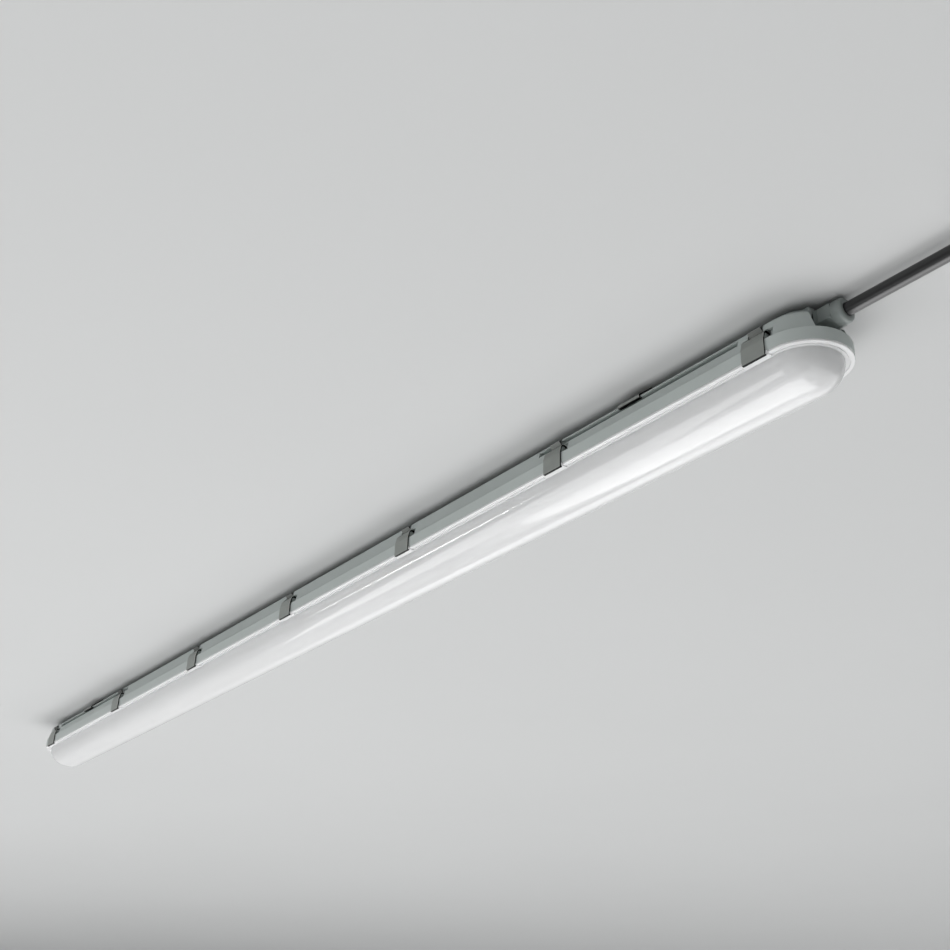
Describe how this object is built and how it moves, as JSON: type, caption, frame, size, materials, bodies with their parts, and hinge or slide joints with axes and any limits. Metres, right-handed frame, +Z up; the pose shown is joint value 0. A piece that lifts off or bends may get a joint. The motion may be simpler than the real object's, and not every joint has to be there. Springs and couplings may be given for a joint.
{
  "type": "vapor tight light fixture",
  "caption": "Long, narrow weatherproof LED ceiling light with a domed opal diffuser held by swinging steel clips, on two ceiling brackets, with a cable running to a ceiling box.",
  "frame": {"origin": "on the ceiling, midway between the screw holes of the two ceiling brackets", "axes": "+X along the fixture towards its cable, +Z up into the ceiling, -Y the side seen first"},
  "size_m": [1.6751, 0.0794, 0.0652],
  "materials": {
    "housing_grey": "satin moulded polycarbonate",
    "opal": "glossy opal white polycarbonate",
    "foam_grey": "closed-cell foam",
    "stainless": "bright stainless strip",
    "white_steel": "white powder coat",
    "white_plastic": "moulded",
    "board_white": "white solder mask",
    "chip_yellow": "phosphor gel",
    "zinc": "zinc plated",
    "wire_white": "insulation",
    "wire_brown": "insulation",
    "driver_white": "moulded case",
    "gland_grey": "moulded polyamide",
    "black_rubber": "moulded",
    "cable_black": "cable sheath",
    "box_white": "moulded"
  },
  "bodies": {
    "fixture": {"housing": "housing_grey", "gasket": "foam_grey", "diffuser": "opal", "ceiling_bracket_near": "stainless", "ceiling_bracket_far": "stainless", "gear_tray": "white_steel", "tray_knobs": "white_plastic", "led_board_1": "board_white", "led_board_2": "board_white", "led_board_3": "board_white", "led_chips": "chip_yellow", "board_screws": "zinc", "board_links": "wire_white", "led_driver": "driver_white", "driver_screws": "zinc", "terminal_block": "white_plastic", "mains_cores": "wire_brown", "driver_leads": "wire_brown", "led_leads": "wire_white", "gland_body": "gland_grey", "gland_nut": "gland_grey", "gland_washer": "black_rubber", "gland_seal": "black_rubber", "cable_lead_in": "cable_black", "supply_cable": "cable_black", "ceiling_box": "box_white", "ceiling_box_lid": "box_white", "ceiling_box_grommet": "black_rubber", "ceiling_box_screws": "zinc", "blanking_plug": "gland_grey", "plug_washer": "black_rubber"},
    "clip_front_1": {"clip_front_1": "stainless"},
    "clip_front_2": {"clip_front_2": "stainless"},
    "clip_front_3": {"clip_front_3": "stainless"},
    "clip_front_4": {"clip_front_4": "stainless"},
    "clip_front_5": {"clip_front_5": "stainless"},
    "clip_front_6": {"clip_front_6": "stainless"},
    "clip_front_7": {"clip_front_7": "stainless"},
    "clip_back_1": {"clip_back_1": "stainless"},
    "clip_back_2": {"clip_back_2": "stainless"},
    "clip_back_3": {"clip_back_3": "stainless"},
    "clip_back_4": {"clip_back_4": "stainless"},
    "clip_back_5": {"clip_back_5": "stainless"},
    "clip_back_6": {"clip_back_6": "stainless"},
    "clip_back_7": {"clip_back_7": "stainless"}
  },
  "joints": [
    {"name": "hinge_front_1", "type": "hinge", "parent": "fixture", "child": "clip_front_1", "pos_m": [0.7061, -0.0338, -0.0232], "axis": [-1, 0, 0], "range_deg": [0, 40]},
    {"name": "hinge_front_2", "type": "hinge", "parent": "fixture", "child": "clip_front_2", "pos_m": [0.4739, -0.0338, -0.0232], "axis": [-1, 0, 0], "range_deg": [0, 40]},
    {"name": "hinge_front_3", "type": "hinge", "parent": "fixture", "child": "clip_front_3", "pos_m": [0.2417, -0.0338, -0.0232], "axis": [-1, 0, 0], "range_deg": [0, 40]},
    {"name": "hinge_front_4", "type": "hinge", "parent": "fixture", "child": "clip_front_4", "pos_m": [0.0095, -0.0338, -0.0232], "axis": [-1, 0, 0], "range_deg": [0, 40]},
    {"name": "hinge_front_5", "type": "hinge", "parent": "fixture", "child": "clip_front_5", "pos_m": [-0.2227, -0.0338, -0.0232], "axis": [-1, 0, 0], "range_deg": [0, 40]},
    {"name": "hinge_front_6", "type": "hinge", "parent": "fixture", "child": "clip_front_6", "pos_m": [-0.4549, -0.0338, -0.0232], "axis": [-1, 0, 0], "range_deg": [0, 40]},
    {"name": "hinge_front_7", "type": "hinge", "parent": "fixture", "child": "clip_front_7", "pos_m": [-0.6871, -0.0338, -0.0232], "axis": [-1, 0, 0], "range_deg": [0, 40]},
    {"name": "hinge_back_1", "type": "hinge", "parent": "fixture", "child": "clip_back_1", "pos_m": [0.7061, 0.0338, -0.0232], "axis": [1, 0, 0], "range_deg": [0, 40]},
    {"name": "hinge_back_2", "type": "hinge", "parent": "fixture", "child": "clip_back_2", "pos_m": [0.4739, 0.0338, -0.0232], "axis": [1, 0, 0], "range_deg": [0, 40]},
    {"name": "hinge_back_3", "type": "hinge", "parent": "fixture", "child": "clip_back_3", "pos_m": [0.2417, 0.0338, -0.0232], "axis": [1, 0, 0], "range_deg": [0, 40]},
    {"name": "hinge_back_4", "type": "hinge", "parent": "fixture", "child": "clip_back_4", "pos_m": [0.0095, 0.0338, -0.0232], "axis": [1, 0, 0], "range_deg": [0, 40]},
    {"name": "hinge_back_5", "type": "hinge", "parent": "fixture", "child": "clip_back_5", "pos_m": [-0.2227, 0.0338, -0.0232], "axis": [1, 0, 0], "range_deg": [0, 40]},
    {"name": "hinge_back_6", "type": "hinge", "parent": "fixture", "child": "clip_back_6", "pos_m": [-0.4549, 0.0338, -0.0232], "axis": [1, 0, 0], "range_deg": [0, 40]},
    {"name": "hinge_back_7", "type": "hinge", "parent": "fixture", "child": "clip_back_7", "pos_m": [-0.6871, 0.0338, -0.0232], "axis": [1, 0, 0], "range_deg": [0, 40]}
  ]
}
